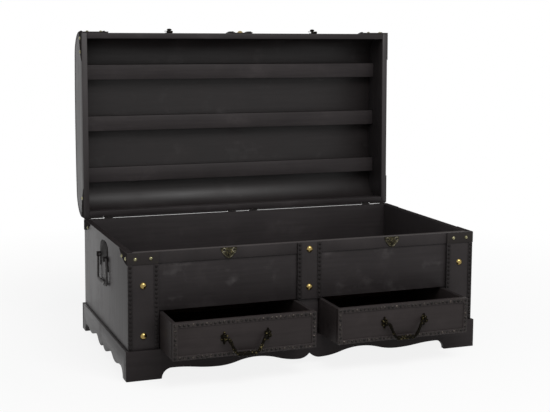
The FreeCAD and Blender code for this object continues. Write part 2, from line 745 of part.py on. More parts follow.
drawer_face = panel_front - size("drawer_out")
drawer_low = plinth_height + size("run_gap")
drawer_half = size("drawer_width") / 2
side_thick = size("drawer_side_thick")
front_thick = size("drawer_front_thick")
pull_level = drawer_low + size("drawer_height") / 2
pull_line = drawer_face - size("pull_standoff")


def pull_bail(middle):
    """A drop handle: stubs in the posts, two sloping arms and a thicker grip."""
    post = size("pull_span") / 2
    reach = size("pull_post_radius")
    flat = size("pull_flat") / 2
    low = pull_level - size("pull_drop")
    half_path = [(-post - reach, pull_level), (reach + size("rod_bend") - post, pull_level), (-flat, low)]
    path = half_path + [(-across, height) for across, height in reversed(half_path)]
    rod = bent_rod([(middle + across, pull_line, height) for across, height in path],
                   size("pull_rod_radius"), size("rod_bend"))
    grip = Part.makeCylinder(size("pull_grip_radius"), size("pull_grip_length"),
                             point(middle - size("pull_grip_length") / 2, pull_line, low), point(1, 0, 0))
    return rod.fuse(grip)


for side, sign in SIDES.items():
    middle = sign * (size("divider_width") + size("opening_width")) / 2
    edge = middle - drawer_half
    name = f"drawer_{side}"
    keep(block(f"{name}_front", "drawer_width", "drawer_front_thick", "drawer_height",
               at(edge, drawer_face, drawer_low)), f"{name}_front")
    walls = [block(f"{name}_side", "drawer_side_thick", "drawer_side_length", "drawer_height",
                   at(start, drawer_face + front_thick, drawer_low))
             for start in (edge, middle + drawer_half - side_thick)]
    keep(group(f"{name}_sides", walls), f"{name}_sides")
    drawer_end = drawer_face + size("drawer_depth")
    keep(block(f"{name}_back", "drawer_inner_width", "drawer_side_thick", "drawer_height",
               at(edge + side_thick, drawer_end - side_thick, drawer_low)), f"{name}_back")
    keep(block(f"{name}_bottom", "drawer_inner_width", "drawer_side_length - drawer_side_thick",
               "drawer_bottom_thick", at(edge + side_thick, drawer_face + front_thick, drawer_low)),
         f"{name}_bottom")
    border_face = drawer_face - size("trim_thick")
    border = block(f"{name}_border", "drawer_width", "trim_thick", "drawer_height",
                   at(edge, border_face, drawer_low))
    window = block(f"{name}_window", "drawer_width - 2 * trim_width", "trim_thick",
                   "drawer_height - 2 * trim_width",
                   at(edge + trim_width, border_face, drawer_low + trim_width))
    keep(drilled(f"{name}_trim", border, window), f"{name}_trim")
    posts = []
    for post_sign in SIDES.values():
        across = middle + post_sign * size("pull_span") / 2
        plate_half = size("pull_plate_width") / 2
        plate_tall = size("pull_plate_height") / 2
        points = [((0, plate_tall),), ((plate_half, 0),), ((0, -plate_tall),)]
        diamond = plate("post_plate", "XZ_Plane", outline((-plate_half, 0), points), "leaf_thick",
                        at(across, drawer_face, pull_level))
        post = round_bar("pull_post", "pull_post_radius", "pull_standoff + pull_post_radius",
                         at(across, pull_line - size("pull_post_radius"), pull_level, ALONG_Y))
        hole = round_bar("post_hole", "pull_hole_radius", "4 * pull_post_radius",
                         at(across - 2 * size("pull_post_radius"), pull_line, pull_level, ALONG_X))
        posts.append(drilled("post", joined("post_whole", [diamond, post]), hole))
    keep(group(f"{name}_pull_posts", posts), f"{name}_pull_posts")
    bail = doc.addObject("Part::Feature", f"{name}_pull")
    bail.Shape = pull_bail(middle)
    keep(bail, f"{name}_pull")


# Side handles: a round-topped plate with two ears, and a drop handle whose stubs turn in them

handle_level = rim - size("handle_pivot_drop")
handle_reach = half_width + size("handle_standoff")


def handle_bail(sign):
    """A drop handle in the plane of the chest's end."""
    leg = size("handle_span") / 2
    low = handle_level - size("handle_drop")
    inside = size("handle_plate_width") / 2 - size("ear_width")
    half_path = [(-inside, handle_level), (-leg, handle_level), (-leg - size("handle_flare"), low)]
    path = half_path + [(-along, height) for along, height in reversed(half_path)]
    rod = bent_rod([(sign * handle_reach, along, height) for along, height in path],
                   size("handle_rod_radius"), size("rod_bend"))
    grip = Part.makeCylinder(size("handle_grip_radius"), size("handle_grip_length"),
                             point(sign * handle_reach, -size("handle_grip_length") / 2, low), point(0, 1, 0))
    return rod.fuse(grip)


for side, sign in SIDES.items():
    wide = size("handle_plate_width") / 2
    foot = handle_level - size("handle_plate_below")
    neck = handle_level + size("handle_plate_below") / 2
    top = handle_level + size("handle_plate_above")
    arch = (0, foot + size("handle_plate_arch"))
    shape = outline((-wide, foot), [(arch, (wide, foot)), ((wide, neck),), ((0, top), (-wide, neck))])
    thick = size("handle_plate_thick")
    back_plate = plate(f"handle_back_{side}", "YZ_Plane", shape, "handle_plate_thick",
                       at(min(sign * half_width, sign * (half_width + thick)), 0, 0))
    pieces = [back_plate]
    ear_half = size("handle_rod_radius") + size("ear_wall")
    for start in (-wide, wide - size("ear_width")):
        pieces.append(block("handle_ear", "ear_reach", "ear_width", "2 * (handle_rod_radius + ear_wall)",
                            at(min(sign * half_width, sign * (half_width + size("ear_reach"))), start,
                               handle_level - ear_half)))
    hole = round_bar("ear_hole", "handle_hole_radius", "handle_plate_width",
                     at(sign * handle_reach, -wide, handle_level, ALONG_Y))
    eared_plate = joined("eared_plate", pieces)
    keep(drilled(f"side_handle_plate_{side}", eared_plate, hole), f"side_handle_plate_{side}")
    bail = doc.addObject("Part::Feature", f"side_handle_{side}")
    bail.Shape = handle_bail(sign)
    keep(bail, f"side_handle_{side}")


# Finish: every object has to come out sound before any sub-part is written

doc.recompute()
for thing in doc.Objects:
    if {"Invalid", "Error"} & set(thing.State):
        raise RuntimeError(f"{thing.Name} failed: {thing.State}")
for thing in sub_parts:
    if thing.Shape.isNull() or not thing.Shape.isValid() or not thing.Shape.Solids:
        raise RuntimeError(f"{thing.Label} has no sound solid")
os.makedirs("parts", exist_ok=True)
for thing in sub_parts:
    thing.Shape.exportStep(f"parts/{thing.Label}.step")
    box = thing.Shape.BoundBox
    print(f"{thing.Label}: {len(thing.Shape.Solids)} solids, {thing.Shape.Volume / 1000:.1f} cm3, "
          f"z {box.ZMin:.1f} to {box.ZMax:.1f}")
print(len(sub_parts), "sub-parts")
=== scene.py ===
# %% [markdown]
# # A mule chest, dressed in Blender
# The boards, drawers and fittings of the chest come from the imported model, at their real size and place.
# This lesson eases their edges, stains the wood, tans the leather and polishes the brass. It also models
# what is too fine for the solids: nail heads, pierced keepers and cast drop pulls. Everything is in metres,
# with +Z up, and the chest's front looks along -Y.

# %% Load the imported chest
import json
import math

import bpy
from mathutils import Matrix, Vector


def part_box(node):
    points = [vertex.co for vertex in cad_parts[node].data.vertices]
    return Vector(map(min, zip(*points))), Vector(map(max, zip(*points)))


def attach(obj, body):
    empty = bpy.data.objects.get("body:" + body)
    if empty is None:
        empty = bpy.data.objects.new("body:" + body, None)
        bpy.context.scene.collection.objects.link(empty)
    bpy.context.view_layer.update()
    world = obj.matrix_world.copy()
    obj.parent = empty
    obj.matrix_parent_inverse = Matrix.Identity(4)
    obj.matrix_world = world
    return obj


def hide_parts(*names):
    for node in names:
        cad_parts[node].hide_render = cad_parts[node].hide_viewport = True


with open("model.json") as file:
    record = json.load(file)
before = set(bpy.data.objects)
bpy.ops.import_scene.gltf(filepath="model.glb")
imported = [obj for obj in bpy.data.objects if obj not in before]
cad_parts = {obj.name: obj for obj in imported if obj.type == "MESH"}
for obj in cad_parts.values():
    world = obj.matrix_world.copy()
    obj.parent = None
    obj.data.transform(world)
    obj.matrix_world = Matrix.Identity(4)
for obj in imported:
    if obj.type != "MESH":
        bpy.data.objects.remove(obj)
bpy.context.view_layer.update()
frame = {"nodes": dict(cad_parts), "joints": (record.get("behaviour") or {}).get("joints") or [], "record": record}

# %% [markdown]
# ## Working by selection
# Blender's operators act on all that is selected, and loading leaves every board selected. Each step
# therefore clears the selection first and picks only the piece that it works on.

# %% Selecting pieces
def pick(*pieces):
    """Makes these pieces the only selected ones, and the last of them active."""
    bpy.ops.object.select_all(action="DESELECT")
    for piece in pieces:
        piece.select_set(True)
        bpy.context.view_layer.objects.active = piece


def edit(piece):
    """Opens one piece in edit mode with all of it selected."""
    pick(piece)
    bpy.ops.object.mode_set(mode="EDIT")
    bpy.ops.mesh.select_all(action="SELECT")


def done():
    """Leaves edit mode and hands back the piece that was open."""
    bpy.ops.object.mode_set(mode="OBJECT")
    return bpy.context.object


def fuse(name, pieces):
    """Joins several meshes into one named piece."""
    pick(*pieces)
    bpy.ops.object.join()
    whole = bpy.context.object
    whole.name = name
    whole.data.name = name
    return whole


pick()
print("selected now:", len(bpy.context.selected_objects))

# %% [markdown]
# ## Sums on sockets
# A finish is a small network of nodes. Wiring it by hand takes many lines, so one class stands for an
# output socket: a sum written on it in Python adds the Math node, and `add` makes every other kind of node.

# %% The socket class
# A Mix node has its share on socket 0, its colours on sockets 6 and 7, and the mixed colour on output 2.
MIX_SHARE, MIX_FIRST, MIX_SECOND, MIX_COLOUR = 0, 6, 7, 2


class Shade:
    """An output socket in the nodes of one finish."""

    def __init__(self, tree, socket=None):
        self.tree = tree
        self.socket = socket

    def add(self, kind, sockets=None, output=0, **settings):
        """Adds a node: first its settings, then the values or links of its sockets."""
        made = self.tree.nodes.new("ShaderNode" + kind)
        for name, value in settings.items():
            setattr(made, name, value)
        for name, value in (sockets or {}).items():
            if isinstance(value, Shade):
                self.tree.links.new(value.socket, made.inputs[name])
            else:
                made.inputs[name].default_value = value
        return Shade(self.tree, made.outputs[output] if len(made.outputs) else None)

    def sum(self, operation, first, second):
        """A Math node on two numbers, each a plain one or a socket."""
        return self.add("Math", {0: first, 1: second}, operation=operation)

    def __add__(self, other):
        return self.sum("ADD", self, other)

    def __sub__(self, other):
        return self.sum("SUBTRACT", self, other)

    def __rsub__(self, other):
        return self.sum("SUBTRACT", other, self)

    def __mul__(self, other):
        return self.sum("MULTIPLY", self, other)

    __radd__ = __add__
    __rmul__ = __mul__

    def within(self, low, high):
        """0 below low, 1 above high and a straight ramp between them."""
        return self.add("MapRange", {"Value": self, "From Min": low, "From Max": high})

    def between(self, first, second):
        """A colour that goes from first to second as this value goes from 0 to 1."""
        first, second = [end if isinstance(end, Shade) else (*end, 1) for end in (first, second)]
        return self.add("Mix", {MIX_SHARE: self, MIX_FIRST: first, MIX_SECOND: second}, MIX_COLOUR,
                        data_type="RGBA")

    def noise(self, scale, detail=3.0, roughness=0.5):
        """Cloudy noise on this coordinate, about 1 / scale metres to a cloud."""
        return self.add("TexNoise", {"Vector": self, "Scale": scale, "Detail": detail,
                                     "Roughness": roughness})


print("materials on the packed chest:", len(bpy.data.materials))

# %% [markdown]
# ## How a finish begins and ends
# Every pattern is drawn on Object coordinates, which are metres on the chest itself, so grain and specks
# keep their true size on each piece. Every finish ends in a Principled surface, with its fine relief as a
# bump.

# %% Starting and sealing a finish
def new_finish(name):
    """An empty finish and the object coordinates that its patterns are drawn on."""
    finish = bpy.data.materials.new(name)
    finish.use_nodes = True
    finish.node_tree.nodes.clear()
    return finish, Shade(finish.node_tree).add("TexCoord", output="Object")


def surface(place, colour, roughness, height, depth, **others):
    """One Principled surface whose bump is depth metres deep."""
    bump = place.add("Bump", {"Strength": 1.0, "Distance": depth, "Height": height})
    return place.add("BsdfPrincipled", {"Base Color": colour, "Roughness": roughness, "Normal": bump,
                                        **{name.replace("_", " "): others[name] for name in others}})


def seal(shader):
    """Ends a finish with its surface."""
    shader.add("OutputMaterial", {"Surface": shader})


# Noise seldom leaves the middle of its range, so patterns are stretched from there.
MOST_NOISE = (0.3, 0.7)
print("patterns use noise from", *MOST_NOISE)

# %% [markdown]
# ## Stained boards
# The boards are dark, almost black, with a satin sheen. Close up they show fine streaks along the grain and
# cloudy patches in the stain, and the front and the lid's inside have a few paler patches: painted highlights.
# A picture of wood would repeat and blur, so noise that is squeezed across the grain makes the streaks. One
# function serves every board, and only the grain's direction and the stain differ. On some boards the faces
# that look straight up or down take a colour of their own and no sheen, so a second, dull surface is mixed in
# there: on the front that colour is paler, and on the ends, the drawer sides and the battens it is darker,
# painted shade on their tops.

# %% Painted highlights and faces that look up or down
# The whitish colour of the painted highlight patches, and how far their pattern is moved on the chest.
PAINTED_HIGHLIGHT = (0.0950, 0.0880, 0.0880)
PAINTED_HIGHLIGHT_SHIFT = (0.372, 0, -0.045)


def painted_highlight_patches(place, grain):
    """Painted highlight: 1 in a few soft patches, streaked along the grain, and 0 elsewhere."""
    moved = place.add("Mapping", {"Vector": place, "Location": PAINTED_HIGHLIGHT_SHIFT})
    along = moved.add("Mapping", {"Vector": moved, "Scale": grain})
    patches = moved.noise(13, detail=5, roughness=0.62).within(0.58, 0.74)
    streaks = along.noise(60, detail=4, roughness=0.6).within(0.3, 0.65)
    return patches * streaks


def level_face_share(place):
    """1 on faces that look straight up or down, and 0 on upright ones."""
    facing = place.add("TexCoord", output="Normal")
    up = facing.add("SeparateXYZ", {"Vector": facing}, "Z")
    return (up * up).within(0.6, 0.95)


print("the pattern of rubs is moved by", PAINTED_HIGHLIGHT_SHIFT)

# %% Board finishes
ALONG_X, ALONG_Y, UPRIGHT = (0.05, 1, 1), (1, 0.05, 1), (1, 1, 0.05)
GRAIN_DEPTH = 0.00006
DULL = 0.9


def board_finish(name, dark, light, grain, dullness=0.40, sheen=0.12, edge=None, painted_highlight_share=0.0):
    """Stained wood with faint streaks along the grain, clouds, smudges and pores.

    edge is the colour of faces that look straight up or down, which lose their sheen. Where it is darker
    than the stain, it is painted shade on tops.
    The last argument is the share of a painted whitish highlight in a few soft patches.
    """
    finish, place = new_finish(name)
    along = place.add("Mapping", {"Vector": place, "Scale": grain})
    streaks = along.noise(150, detail=5, roughness=0.62).within(*MOST_NOISE)
    clouds = place.noise(5.5).within(*MOST_NOISE)
    smudges = place.noise(17, detail=4, roughness=0.6).within(0.52, 0.72) * clouds
    pores = along.noise(900, detail=2).within(0.35, 0.65)
    colour = (streaks * 0.3 + clouds * 0.3 + smudges * 0.5).between(dark, light)
    # Painted highlight: whitish soft patches mixed into the colour.
    if painted_highlight_share:
        colour = (painted_highlight_share * painted_highlight_patches(place, grain)).between(colour, PAINTED_HIGHLIGHT)
    roughness = dullness + 0.06 * clouds + 0.05 * (1 - streaks) + 0.1 * smudges
    relief = (streaks + 0.4 * pores, GRAIN_DEPTH)
    board = surface(place, colour, roughness, *relief, Specular_IOR_Level=sheen)
    # Faces that look up or down take the edge colour without sheen: on the ends, drawer sides and battens a darker
    # one, painted shade.
    if edge:
        level_face_colour = (0.6 + 0.4 * streaks).between((0, 0, 0), edge)
        dull = surface(place, level_face_colour, DULL, *relief, Specular_IOR_Level=0.0)
        board = place.add("MixShader", {0: level_face_share(place), 1: board, 2: dull})
    seal(board)
    return finish


print("grain:", GRAIN_DEPTH, "m deep")

# %% [markdown]
# ## The stains
# Each stain is a pair of colours, the darkest and the lightest that it shows. One stain for every board
# would be simpler, but then the chest looks cast in one piece. The front and the ends lie between charcoal
# and black, the drawers are a little warmer, and the lid's inside is the darkest and has the most sheen.
# Only the drawers' backs and bottoms are plain brown.

# %% Stained finishes
CHARCOAL = ((0.0150, 0.0128, 0.0132), (0.0340, 0.0294, 0.0300))
WARM_BLACK = ((0.0165, 0.0132, 0.0130), (0.0340, 0.0280, 0.0276))
PLINTH_BLACK = ((0.0120, 0.0098, 0.0100), (0.0280, 0.0236, 0.0240))
END_BLACK = ((0.0180, 0.0154, 0.0158), (0.0400, 0.0346, 0.0352))
LID_BLACK = ((0.0060, 0.0046, 0.0046), (0.0150, 0.0120, 0.0121))
INSIDE_BLACK = ((0.0150, 0.0128, 0.0132), (0.0320, 0.0276, 0.0282))
RAW_BROWN = ((0.056, 0.034, 0.026), (0.098, 0.063, 0.049))
# A darker colour without sheen for the tops of the ends, the drawer sides and the battens: painted shade.
PAINTED_SHADE_TOP = (0.0235, 0.0203, 0.0205)
# A paler colour for the faces of the front panel that look straight up or down.
PALE_LEVEL_FACE = (0.0700, 0.0630, 0.0620)
lengthwise = board_finish("stained_board_lengthwise", *CHARCOAL, ALONG_X)
plinth_wood = board_finish("stained_plinth_lengthwise", *PLINTH_BLACK, ALONG_X, sheen=0.10)
plinth_wood_crosswise = board_finish("stained_plinth_crosswise", *PLINTH_BLACK, ALONG_Y, sheen=0.29)
# The front and the lid's inside carry the painted highlight patches.
front_wood = board_finish("stained_front_lengthwise", *CHARCOAL, ALONG_X, edge=PALE_LEVEL_FACE, painted_highlight_share=0.5)
lid_wood = board_finish("stained_lid_lengthwise", *LID_BLACK, ALONG_X, dullness=0.44, sheen=0.28, painted_highlight_share=0.2)
# The battens' tops are darker: painted shade.
batten_wood = board_finish("stained_batten_lengthwise", *END_BLACK, ALONG_X, edge=PAINTED_SHADE_TOP)
upright = board_finish("stained_board_upright", *END_BLACK, UPRIGHT, sheen=0.29, edge=PAINTED_SHADE_TOP)
drawer_wood = board_finish("stained_drawer_lengthwise", *WARM_BLACK, ALONG_X)
drawer_wood_crosswise = board_finish("stained_drawer_crosswise", *WARM_BLACK, ALONG_Y, sheen=0.19,
                                     edge=PAINTED_SHADE_TOP)
raw_wood = board_finish("stained_raw_lengthwise", *RAW_BROWN, ALONG_X, sheen=0.05)
inside_wood = board_finish("stained_inside_lengthwise", *INSIDE_BLACK, ALONG_X)
inside_wood_crosswise = board_finish("stained_inside_crosswise", *INSIDE_BLACK, ALONG_Y)
print("board finishes:", len([made for made in bpy.data.materials if made.name.startswith("stained")]))

# %% [markdown]
# ## Hide and strips
# The raised bands are faced with dark hide. Its pebbled grain is a field of small cells, about a millimetre
# or two each, with creases between them. Noise alone would look like dust. A Voronoi texture draws such
# cells, and the bump turns them into grain.

# %% Leather finishes
PEBBLES, CREASE = 620.0, 0.35
HIDE_DEPTH = 0.00010
HIDE_SHEEN = 0.12


def hide_finish(name, dark, light):
    """Dark hide: pebbled cells, creases between them and soft clouds of colour."""
    finish, place = new_finish(name)
    wander = place.noise(400, detail=2)
    cells = place.add("TexVoronoi", {"Vector": place, "Scale": PEBBLES}, feature="DISTANCE_TO_EDGE")
    pebbles = cells.within(0, CREASE)
    clouds = place.noise(9, detail=4, roughness=0.6).within(*MOST_NOISE)
    # The creases are darker in colour as well: painted shade in them, besides the bump's own shading.
    colour = (0.55 * clouds + 0.3 * pebbles + 0.15 * wander).between(dark, light)
    roughness = 0.46 - 0.08 * pebbles + 0.08 * clouds
    seal(surface(place, colour, roughness, pebbles + wander, HIDE_DEPTH, Specular_IOR_Level=HIDE_SHEEN))
    return finish


hide = hide_finish("dark_hide", (0.0150, 0.0128, 0.0130), (0.0320, 0.0276, 0.0280))
strip_hide = hide_finish("strip_hide", (0.0096, 0.0082, 0.0083), (0.0205, 0.0177, 0.0178))
drawer_hide = hide_finish("drawer_hide", (0.0180, 0.0146, 0.0142), (0.0350, 0.0292, 0.0286))
print("leather finishes:", hide.name, strip_hide.name, drawer_hide.name)

# %% [markdown]
# ## Metals
# The studs are polished brass that has gone darker in places. The caps are bronze, stained almost like the
# boards. The keepers and pulls are cast: olive and nearly black, with gold where hands have rubbed the high
# places. A mask could be painted for every piece, but one function can serve them all: its colour and gloss
# follow noise at two sizes, broad tarnish and fine speckle.

# %% A metal's finish
SOFT_BORDER = 0.2


def metal_finish(name, patina, bright, share, speckle, dullness, depth, sheen=0.1):
    """Bare bright metal over about a share of it and dark patina elsewhere.

    The specks are 1 / speckle metres wide, and the relief is depth metres deep.
    """
    finish, place = new_finish(name)
    broad = place.noise(speckle * 0.3).within(*MOST_NOISE)
    fine = place.noise(speckle, detail=4, roughness=0.6).within(*MOST_NOISE)
    shine = (0.4 * broad + 0.6 * fine).within(1 - share - SOFT_BORDER, 1 - share + SOFT_BORDER)
    seal(surface(place, shine.between(patina, bright), dullness + 0.2 * (1 - shine), fine, depth,
                 Metallic=shine, Specular_IOR_Level=sheen))
    return finish


stud_brass = metal_finish("stud_brass", patina=(0.150, 0.088, 0.024), bright=(0.290, 0.212, 0.078),
                          share=0.85, speckle=260, dullness=0.22, depth=0.00004)
pale_brass = metal_finish("pale_brass", patina=(0.040, 0.037, 0.014), bright=(0.285, 0.268, 0.160),
                          share=0.60, speckle=420, dullness=0.12, depth=0.00003)
print("brass:", stud_brass.name, "and", pale_brass.name)

# %% Bronze and gold
cap_bronze = metal_finish("cap_bronze", patina=(0.0265, 0.0236, 0.0232), bright=(0.052, 0.048, 0.034),
                          share=0.15, speckle=300, dullness=0.60, depth=0.0001, sheen=0.0)
antique_gold = metal_finish("antique_gold", patina=(0.013, 0.0112, 0.0058), bright=(0.17, 0.145, 0.070),
                            share=0.24, speckle=420, dullness=0.36, depth=0.0001)
worn_gold = metal_finish("worn_gold", patina=(0.048, 0.043, 0.026), bright=(0.34, 0.315, 0.235),
                         share=0.38, speckle=420, dullness=0.36, depth=0.0001)
cast_bronze = metal_finish("cast_bronze", patina=(0.0026, 0.0020, 0.0009), bright=(0.32, 0.262, 0.115),
                           share=0.16, speckle=330, dullness=0.36, depth=0.00012, sheen=0.04)
hasp_bronze = metal_finish("hasp_bronze", patina=(0.0060, 0.0048, 0.0036), bright=(0.30, 0.23, 0.09),
                           share=0.06, speckle=230, dullness=0.40, depth=0.00008, sheen=0.05)
nail_bronze = metal_finish("nail_bronze", patina=(0.0046, 0.0037, 0.0034), bright=(0.084, 0.071, 0.063),
                           share=0.33, speckle=240, dullness=0.32, depth=0.00005, sheen=0.15)
strip_bronze = metal_finish("strip_bronze", patina=(0.0130, 0.0111, 0.0110), bright=(0.024, 0.021, 0.020),
                            share=0.2, speckle=240, dullness=0.55, depth=0.00005, sheen=0.06)
print("bronze for caps, pulls, hasps and nails, gold for keepers:", cast_bronze.name, antique_gold.name)

# %% Steel and iron
hinge_steel = metal_finish("hinge_steel", patina=(0.012, 0.0105, 0.0102), bright=(0.050, 0.045, 0.042),
                           share=0.2, speckle=320, dullness=0.46, depth=0.00005, sheen=0.04)
dark_iron = metal_finish("dark_iron", patina=(0.0150, 0.0136, 0.0134), bright=(0.080, 0.075, 0.072),
                         share=0.15, speckle=260, dullness=0.46, depth=0.00015, sheen=0.06)
handle_iron = metal_finish("handle_iron", patina=(0.042, 0.0392, 0.0390), bright=(0.16, 0.153, 0.150),
                           share=0.28, speckle=260, dullness=0.42, depth=0.0001, sheen=0.22)
print("steel and iron:", hinge_steel.name, dark_iron.name, handle_iron.name)

# %% [markdown]
# ## Eased boards
# No board has a knife-sharp edge: each is sanded round by a millimetre or so, and that thin round is what
# catches the light along the rim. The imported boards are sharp, and their meshes stay as they are, so a copy
# of each one is welded, cleared of the lines across its flat faces, and bevelled. The copy then stands for
# it. A bent board keeps its lines, which carry the bend, and only pairs its triangles into four-sided
# faces.

# %% Easing edges
WELD = 0.00001
FLAT = math.radians(0.4)
SHARP = math.radians(38)
BENT = ("lid_top", "lid_straps", "lid_nail_trim")
body_of = {node: body for body, nodes in frame["record"]["behaviour"]["bodies"].items() for node in nodes}


def dress(piece, finish, body):
    """Gives a finished piece its material and the body that carries it."""
    piece.data.materials.clear()
    piece.data.materials.append(finish)
    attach(piece, body)


def ease(node, width, finish):
    """Puts a copy of a packed board, with its sharp edges rounded, in place of the board."""
    board = bpy.data.objects.new(node + "_eased", frame["nodes"][node].data.copy())
    bpy.context.collection.objects.link(board)
    pick(board)
    bpy.ops.mesh.customdata_custom_splitnormals_clear()
    edit(board)
    bpy.ops.mesh.remove_doubles(threshold=WELD)
    if node in BENT:
        bpy.ops.mesh.tris_convert_to_quads()
    else:
        bpy.ops.mesh.dissolve_limited(angle_limit=FLAT)
    done()
    rounding = board.modifiers.new("rounding", "BEVEL")
    rounding.width = width
    rounding.segments = 2
    rounding.limit_method = "ANGLE"
    rounding.angle_limit = SHARP
    bpy.ops.object.modifier_apply(modifier=rounding.name)
    bpy.ops.object.shade_smooth_by_angle(angle=SHARP)
    dress(board, finish, body_of[node])
    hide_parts(node)


print("edges sharper than", round(math.degrees(SHARP)), "degrees are eased")

# %% [markdown]
# ## A finish for every board
# The boards that share a stain and a rounding go through the same steps, so they stand in one table: the
# finish, the width of the rounding, and the boards. Thick boards are rounded most, and sheet metal hardly.

# %% The boards
board_groups = (
    (front_wood, 0.0014, "front_panel"),
    (lengthwise, 0.0014, "drawer_divider lid_front lid_back"),
    (lengthwise, 0.0005, "back_panel"),
    (lid_wood, 0.0014, "lid_top"),
    (batten_wood, 0.0010, "lid_battens"),
    (plinth_wood, 0.0014, "plinth_front plinth_back"),
    (plinth_wood_crosswise, 0.0014, "plinth_left plinth_right"),
    (upright, 0.0014, "end_panel_left end_panel_right lid_end_left lid_end_right"),
    (inside_wood, 0.0010, "chest_floor base_panel plinth_corner_blocks"),
    (inside_wood_crosswise, 0.0010, "drawer_bay_walls_left drawer_bay_walls_right"),
    (drawer_wood, 0.0014, "drawer_left_front drawer_right_front"),
    (raw_wood, 0.0010, "drawer_left_back drawer_left_bottom drawer_right_back drawer_right_bottom"),
    (drawer_wood_crosswise, 0.0012, "drawer_left_sides drawer_right_sides"),
    (hide, 0.0010, "pilaster_left pilaster_right centre_stile top_rails lid_straps"),
    (strip_hide, 0.0005, "body_nail_trim lid_nail_trim"),
    (strip_hide, 0.0002, "lid_back_rails"),
    (drawer_hide, 0.0011, "drawer_left_trim drawer_right_trim"),
    (cap_bronze, 0.0003, "body_corner_caps lid_corner_caps"),
    (hinge_steel, 0.0002, "body_hinge_leaves lid_hinge_leaves hinge_pins"),
    (hasp_bronze, 0.0003, "hasp_plates hasp_left hasp_right"),
    (dark_iron, 0.0004, "side_handle_plate_left side_handle_plate_right"),
)
for finish, width, names in board_groups:
    for node in names.split():
        ease(node, width, finish)
print("eased pieces:", sum(len(names.split()) for finish, width, names in board_groups))

# %% [markdown]
# ## Studs, handles and other solids that are already right
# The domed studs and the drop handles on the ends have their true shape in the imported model. They stay, and
# only their material changes.

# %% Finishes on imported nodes
kept_groups = (
    (stud_brass, "body_brass_studs lid_brass_studs"),
    (pale_brass, "body_corner_studs lid_corner_studs"),
    (handle_iron, "side_handle_left side_handle_right"),
)
for finish, names in kept_groups:
    for node in names.split():
        frame["nodes"][node].data.materials.clear()
        frame["nodes"][node].data.materials.append(finish)
print("kept solids:", sum(len(names.split()) for finish, names in kept_groups))

# %% [markdown]
# ## One nail
# Rows of small bronze nails edge the bands and the drawer fronts. A nail's head is half a flattened ball: a
# ball is added, its lower half is cut off and closed, and the rest is pressed flat. There are hundreds of
# them, so it has few faces.

# %% The nail
NAIL_RADIUS, NAIL_RISE = 0.0037, 0.0021
NAIL_SIDES, NAIL_RINGS = 9, 6
ROUND = math.radians(60)
pick()
bpy.ops.mesh.primitive_uv_sphere_add(segments=NAIL_SIDES, ring_count=NAIL_RINGS, radius=NAIL_RADIUS)
nail = bpy.context.object
edit(nail)
bpy.ops.mesh.bisect(plane_co=(0, 0, 0), plane_no=(0, 0, 1), clear_inner=True, use_fill=True)
bpy.ops.mesh.select_all(action="SELECT")
bpy.ops.transform.resize(value=(1, 1, NAIL_RISE / NAIL_RADIUS), center_override=(0, 0, 0))
done()
bpy.ops.object.shade_smooth_by_angle(angle=ROUND)
print("faces on a nail:", len(nail.data.polygons))

# %% [markdown]
# ## Setting nails
# An array would lay nails along a straight line, but the rows over the lid bend. A row therefore has a foot
# for each nail and the direction that its head looks in. Every copy has its own mesh, turned and moved to
# its foot, and all the nails of a part of the chest are then joined into one piece.

# %% Copies in rows
NAIL_PITCH = 0.0104


def spaced(start, end):
    """Points from start to end, about one nail apart."""
    start, end = Vector(start), Vector(end)
    steps = max(1, round((end - start).length / NAIL_PITCH))
    return [start.lerp(end, step / steps) for step in range(steps + 1)]


def set_nails(name, spots, finish, body):
    """Sets a copy of the nail at each foot, looking outward, and joins them into one piece."""
    copies = []
    for foot, outward in spots:
        copy = bpy.data.objects.new(name, nail.data.copy())
        turn = Vector((0, 0, 1)).rotation_difference(Vector(outward)).to_matrix().to_4x4()
        copy.data.transform(Matrix.Translation(foot) @ turn)
        bpy.context.collection.objects.link(copy)
        copies.append(copy)
    dress(fuse(name, copies), finish, body)
    print(name, len(spots))


print("nails are set", NAIL_PITCH, "m apart")

# %% [markdown]
# ## Rows on the body and the drawers
# A row runs along the middle of each strip. On a drawer the four rows make a frame, and the corners are
# shared, so each side leaves out its last nail.

# %% Nails on the pilasters and the stile
TO_FRONT = (0, -1, 0)
HALF_STRIP = 0.0055
PILASTER_WIDTH = 0.072
strip_low, strip_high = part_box("body_nail_trim")
stile_low, stile_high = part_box("centre_stile")
cap_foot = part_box("body_corner_caps")[0].z
half_body = strip_high.x
outer_row = half_body - HALF_STRIP
inner_row = half_body - PILASTER_WIDTH + HALF_STRIP
stile_row = stile_high.x - HALF_STRIP
body_rows = ((outer_row, strip_low.z, cap_foot), (inner_row, strip_low.z, cap_foot),
             (stile_row, stile_low.z, strip_high.z))
body_spots = []
for side in (-1, 1):
    for across, foot, head in body_rows:
        low = (side * across, strip_low.y, foot + HALF_STRIP)
        high = (side * across, strip_low.y, head - HALF_STRIP)
        body_spots += [(spot, TO_FRONT) for spot in spaced(low, high)]
set_nails("body_nails", body_spots, strip_bronze, "carcass")

# %% Nails round the drawer fronts
for side in ("left", "right"):
    low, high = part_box(f"drawer_{side}_trim")
    left, right = low.x + HALF_STRIP, high.x - HALF_STRIP
    foot, head = low.z + HALF_STRIP, high.z - HALF_STRIP
    corners = [(left, low.y, foot), (right, low.y, foot), (right, low.y, head), (left, low.y, head)]
    drawer_spots = []
    for start, end in zip(corners, corners[1:] + corners[:1]):
        drawer_spots += [(spot, TO_FRONT) for spot in spaced(start, end)[:-1]]
    set_nails(f"drawer_{side}_nails", drawer_spots, nail_bronze, f"drawer_{side}")

# %% [markdown]
# ## Rows over the lid
# On the lid the rows climb the front wall, bend over the shoulder, cross the low dome and come down behind.
# They could be read off the strips' mesh, but its points don't lie a nail apart. The section is worked out
# on the shut lid, from its walls and three arcs, and then turned with the hinge to where the open lid
# stands.

